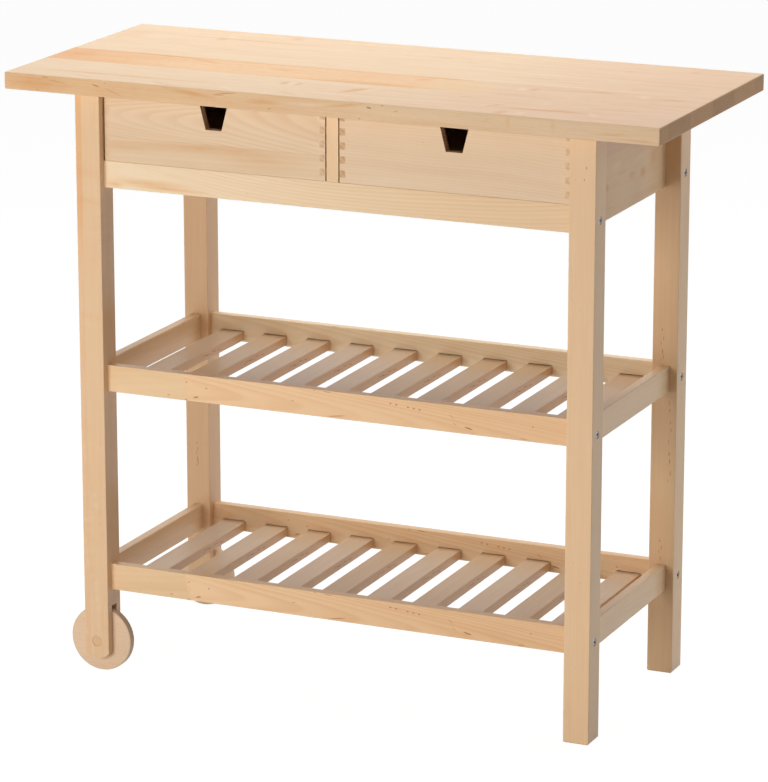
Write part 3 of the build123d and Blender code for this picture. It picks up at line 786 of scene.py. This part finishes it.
def dress_rails():
    for number, side in enumerate(("front", "rear")):
        piece = f"upper_rail_{side}"
        dress(piece, birch(
            piece, "xzy", tone=RAIL_CREAM, far_tone=RAIL_PALE, pith=(-260, 20), taper=0.0,
            bend=(-0.0004, -0.00012), spacing=5.5, lines=0.32, wobble=1.2, ripple=0.0,
            blotches=0.05, streaks=0.08, seed=20 + number,
            blocks=[{"along": (-900, -200), "soft": (45, 0.01), "lines": 0.05, "joined": True}],
            smudges=UPPER_RAIL_SMUDGES))
    for number, level in enumerate(SLAT_SHELF_PAINTED_LIGHT):
        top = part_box(f"{level}_rail_front")[1].z * MM
        for side in ("front", "rear"):
            dress_shelf_rail(level, side, top, 22 + number)
        for side in ("left", "right"):
            piece = f"{level}_rail_{side}"
            dress(piece, birch(piece, "yzx", tone=SIDE_RAIL, pith=(-16, 50), lines=0.12,
                               blotches=0.10, specks=0.2, seed=30 + number))


def dress_shelf_rail(level, side, top, seed):
    """A long shelf rail: arches that point right, and flecks on all but the middle rear one."""
    piece = f"{level}_rail_{side}"
    in_front, in_middle = side == "front", level == "middle"
    flecks = [(along, top - drop, *rest) for along, drop, *rest in RAIL_MARKS]
    flecks += [(89 + i * 9, top - 8 - i * 0.9, 4.5, 2.4, -10, 0.85) for i in range(6) if i != 2]
    marks, blocks = flecks, ()
    if in_front:
        tones = {"tone": RAIL_PEACH, "far_tone": RAIL_HONEY}
        blocks = [{"along": (-900, 0.25 * (top - 20) - 236), "lean": 0.25, "soft": (2.5, 0.01),
                   "tone": RAIL_YELLOW, "taper": -0.10, "lines": 0.10, "spacing": 9.0}]
    elif in_middle:
        tones, marks = {"tone": REAR_RAIL_PALE}, ()
    else:
        # Darker tone: painted shade on the lower rear rail
        tones = {"tone": SHADED_REAR_RAIL}
    dress(piece, birch(
        piece, "xzy", lines=0.34, bands=0.20, wobble=1.2, streaks=0.10, pith=(-80, 26),
        arches=[{"tip": -157, "level": top - 24.6, "slope": -0.043, "opening": -2.7,
                 "step": 92}],
        marks=marks, blocks=blocks, seed=seed, **tones))


def brighter(tone, level):
    return tuple(channel * level for channel in tone)


def dress_slats():
    tones = (SLAT, SLAT_GREY, SLAT, SLAT_WARM)
    for level_number, (level, (near, far, side_light, brown)) in enumerate(SLAT_SHELF_PAINTED_LIGHT.items()):
        side_tone = brighter(SLAT_SIDE_PAINTED_LIGHT, side_light)
        for i in range(SLAT_COUNT):
            piece = f"{level}_slat_{i + 1:02d}"
            seed = 40 + level_number * SLAT_COUNT + i
            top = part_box(piece)[1].z * MM
            tone = SLAT_BROWN if i in brown else tones[(i * 3 + level_number) % 4]
            # Brighter front ends, darker rear ends and a brightness for each shelf: painted light
            # and shade
            dress(piece, birch(
                piece, "yxz", tone=brighter(tone, near), far_tone=brighter(tone, far), spacing=3.6,
                pith=(seed * 7 % 40 - 20, 45), taper=0.01, lines=0.10, blotches=0.08,
                streaks=0.12, side_tones=(side_tone, side_tone),
                side_marks=scattered(18, 84, 10, top - 7, 3, size=1.3), seed=seed))


def dress_drawers():
    dress("drawer_left_front", birch(
        "drawer_left_front", "xzy", tone=DRAWER, pith=(-240, 20), taper=0.006, lines=0.28,
        bands=0.14, wobble=1.3, joints=(811,), ripple=0.01, spacing=5.0,
        arches=[{"tip": -303, "level": 843.4, "opening": 4.2, "step": 45},
                {"tip": -148.5, "level": 868, "opening": 13.5, "step": 45, "first": 4.7,
                 "takeover": (-205, -165)}],
        blocks=[{"across": (770, 811), "tone": DRAWER_WARM, "taper": -0.02, "lines": 0.11,
                 "spacing": 8.0}],
        smudges=((-200, 806, 260, 14, 1, 0.45), (-110, 795, 160, 24, 0, 0.3),
                 (-330, 797, 90, 16, 0, 0.25)), seed=70))
    dress("drawer_right_front", birch(
        "drawer_right_front", "xzy", tone=DRAWER, pith=(-330, 20), start=150,
        bend=(0.00003, 0.00005), taper=0.012, spacing=4.2, lines=0.17, bands=0.10, wobble=2.4,
        ripple=0.02, streaks=0.10, smudges=((120, 787, 420, 26, 0, -0.3),), seed=71))
    for number, hand in enumerate(("left", "right")):
        piece = f"drawer_{hand}_back"
        dress(piece, birch(piece, "xzy", tone=DRAWER, pith=(-240, 20), lines=0.30, spacing=4.0,
                           bend=(0.0002, 0.0002), start=180 * (2 * number - 1),
                           seed=72 + number))
        for side in ("inner", "outer"):
            piece = f"drawer_{hand}_{side}_side"
            dress(piece, birch(piece, "yzx", tone=DRAWER, pith=(-90, -80), spacing=7.0, lines=0.22,
                               end_tint=DRAWER_END_TINTS[f"{hand}_{side}"], seed=75 + number))
        piece = f"drawer_{hand}_bottom"
        dress(piece, plywood(piece, "xyz", DRAWER, plies=3, seed=80 + number))


def dress_case():
    for number, hand in enumerate(("left", "right")):
        piece = f"end_panel_{hand}"
        # Paler towards the rear end: painted light on the panels
        dress(piece, birch(
            piece, "yzx", tone=PANEL, far_tone=PANEL_PAINTED_LIGHT, fade=(20, 140), pith=(-60, 40),
            blotches=0.30, ripple=0.08, lines=0.10, streaks=0.12, smudges=PANEL_SMUDGES,
            joints=(826,), blocks=[{"across": (826, 880), "tone": PANEL_RED}],
            seed=85 + number))
    dress("drawer_divider", birch("drawer_divider", "zxy", tone=DIVIDER, pith=(-30, 40),
                                  lines=0.10, blotches=0.2, seed=88))
    for number, place in enumerate(("left", "right", "centre")):
        piece = f"drawer_runner_{place}"
        dress(piece, birch(piece, "yxz", tone=RUNNER, seed=90 + number))


def dress_wheels():
    for number, place in enumerate(("front", "rear")):
        piece = f"wheel_{place}"
        dress(piece, plywood(piece, "xzy", WHEEL, plies=9, seed=95 + number))
    dress("wheel_axles", birch("wheel_axles", "yxz", tone=LEG, end_tint=AXLE_END_TINT,
                               seed=98))


def dress_fittings():
    dress("wood_dowels", birch("wood_dowels", "xyz", tone=LEG, seed=99))
    for piece in ("frame_bolts", "threaded_inserts", "cam_locks", "cam_bolts", "runner_screws"):
        dress(piece, zinc(piece))


def seen_directly(tree):
    """1 for what the camera sees, straight, in a gloss or through glass."""
    rays = tree.nodes.new("ShaderNodeLightPath").outputs
    camera, gloss, glass = (Wire(tree, rays[f"Is {kind} Ray"])
                            for kind in ("Camera", "Glossy", "Transmission"))
    return camera.math("MAXIMUM", gloss).math("MAXIMUM", glass)


def add_world():
    world = bpy.data.worlds.new("studio")
    bpy.context.scene.world = world
    world.use_nodes = True
    tree = world.node_tree
    tree.nodes.clear()
    level = seen_directly(tree) * (1.0 - SKY_LEVEL) + SKY_LEVEL
    sky = add_node(tree, "ShaderNodeBackground", {"Color": rgba(WHITE), "Strength": level})
    show(tree, sky, "World")


def add_floor():
    """A pale floor that reads as white paper and still takes the trolley's shadow."""
    half = FLOOR_SIZE / 2
    corners = [(-half, -half, 0), (half, -half, 0), (half, half, 0), (-half, half, 0)]
    mesh = bpy.data.meshes.new("floor")
    mesh.from_pydata(corners, [], [(0, 1, 2, 3)])
    floor = bpy.data.objects.new("floor", mesh)
    bpy.context.scene.collection.objects.link(floor)
    material, tree = new_tree("floor")
    paper = add_node(tree, "ShaderNodeBsdfDiffuse", {"Color": rgba(FLOOR_TONE)})
    glow = add_node(tree, "ShaderNodeEmission", {"Color": rgba(WHITE), "Strength": FLOOR_SHINE})
    share = seen_directly(tree) * FLOOR_GLOW
    both = add_node(tree, "ShaderNodeMixShader", {0: share, 1: paper, 2: glow})
    show(tree, both)
    mesh.materials.append(material)


def add_lamp(name, place, target, size, power):
    lamp = bpy.data.lights.new(name, "AREA")
    lamp.shape = "SQUARE"
    lamp.size = size
    lamp.energy = power
    thing = bpy.data.objects.new(name, lamp)
    thing.location = place
    facing = Vector(target) - Vector(place)
    thing.rotation_euler = facing.to_track_quat("-Z", "Y").to_euler()
    bpy.context.scene.collection.objects.link(thing)
    thing.visible_camera = False
    thing.visible_glossy = False


def add_camera():
    lens = bpy.data.cameras.new("camera")
    lens.sensor_width = CAMERA_SENSOR
    lens.lens = CAMERA_LENS
    lens.clip_end = 100.0
    camera = bpy.data.objects.new("camera", lens)
    camera.location = CAMERA_PLACE
    camera.rotation_euler = (math.radians(90 - CAMERA_DIP), 0.0, math.radians(CAMERA_TURN))
    bpy.context.scene.collection.objects.link(camera)
    bpy.context.scene.camera = camera


dress_worktop()
dress_legs()
dress_rails()
dress_slats()
dress_drawers()
dress_case()
dress_wheels()
dress_fittings()
add_world()
add_floor()
for name, values in LAMPS.items():
    add_lamp(name, *values)
add_camera()
bpy.context.scene.view_settings.view_transform = "Standard"
